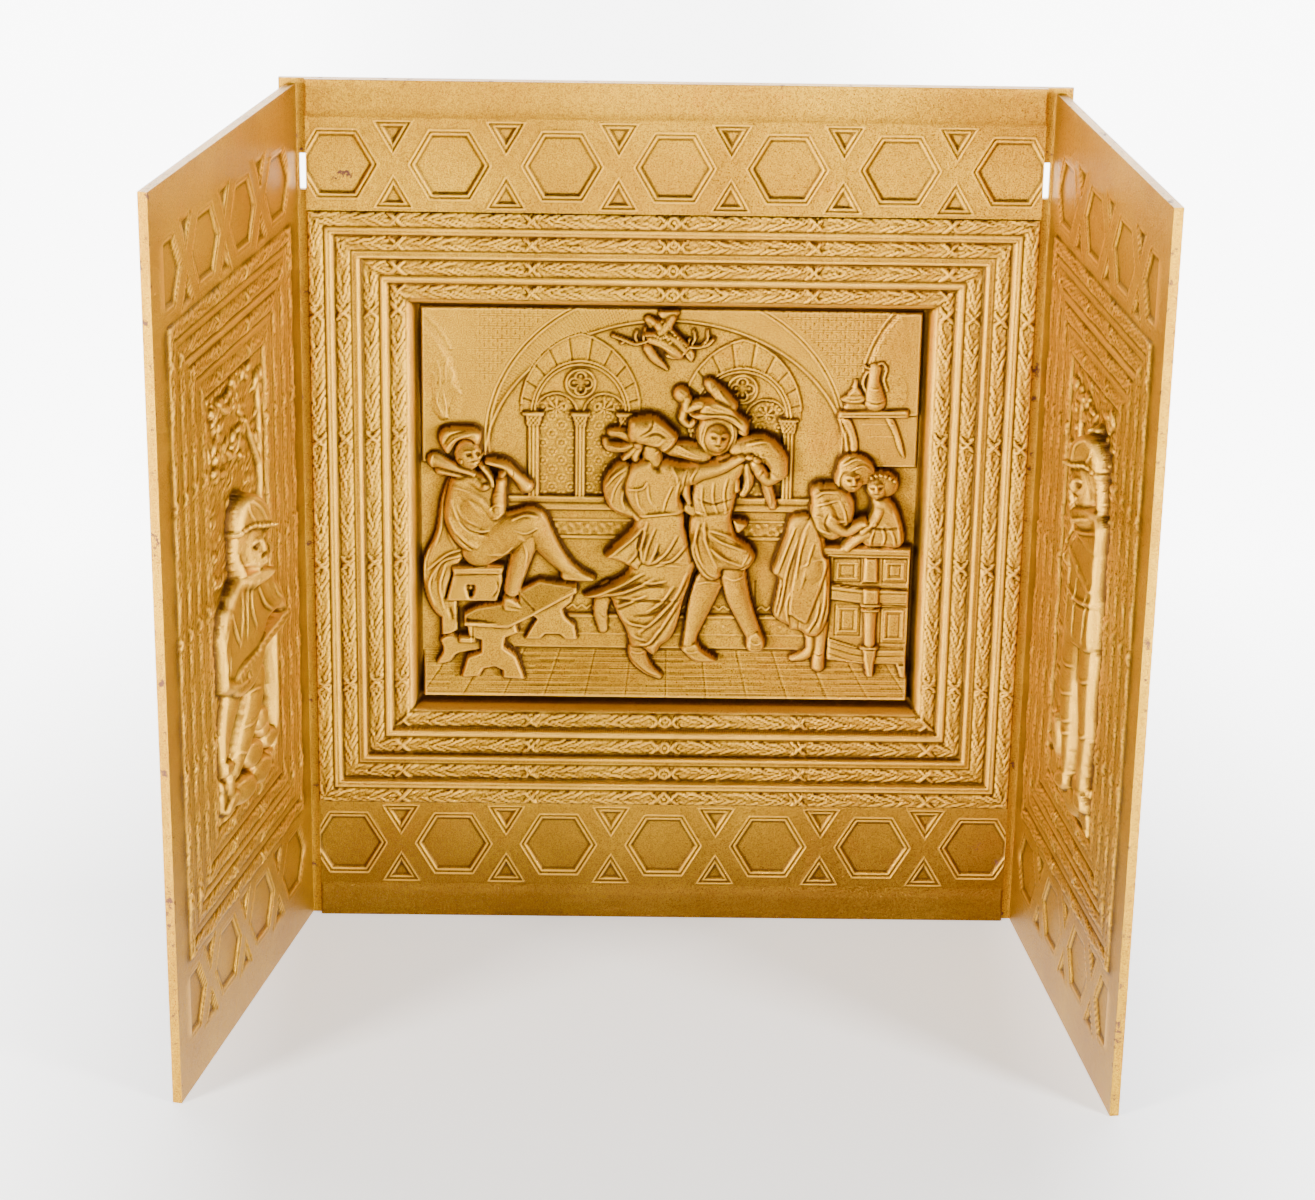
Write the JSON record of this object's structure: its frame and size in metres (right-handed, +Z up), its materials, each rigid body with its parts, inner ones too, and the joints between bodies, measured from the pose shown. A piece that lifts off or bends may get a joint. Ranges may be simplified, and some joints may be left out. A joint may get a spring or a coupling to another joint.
{
  "type": "cast iron fireback with side plates",
  "caption": "Three-plate cast iron fireback: a back plate with a deep framed tavern relief and two splayed cheeks that stand on the hearth and line a fireplace.",
  "frame": {"origin": "on the hearth, under the middle of the box around the whole object", "axes": "+Z up, +Y from the open front towards the wall behind, +X to the right of someone facing the fire"},
  "size_m": [0.643, 0.331, 0.64],
  "materials": {
    "gilt_iron": "sand-cast iron painted with worn bronze-gold paint, semi-gloss, rust in the chips"
  },
  "bodies": {
    "root": {"back_plate": "gilt_iron", "left_side_plate": "gilt_iron", "right_side_plate": "gilt_iron"}
  },
  "joints": []
}
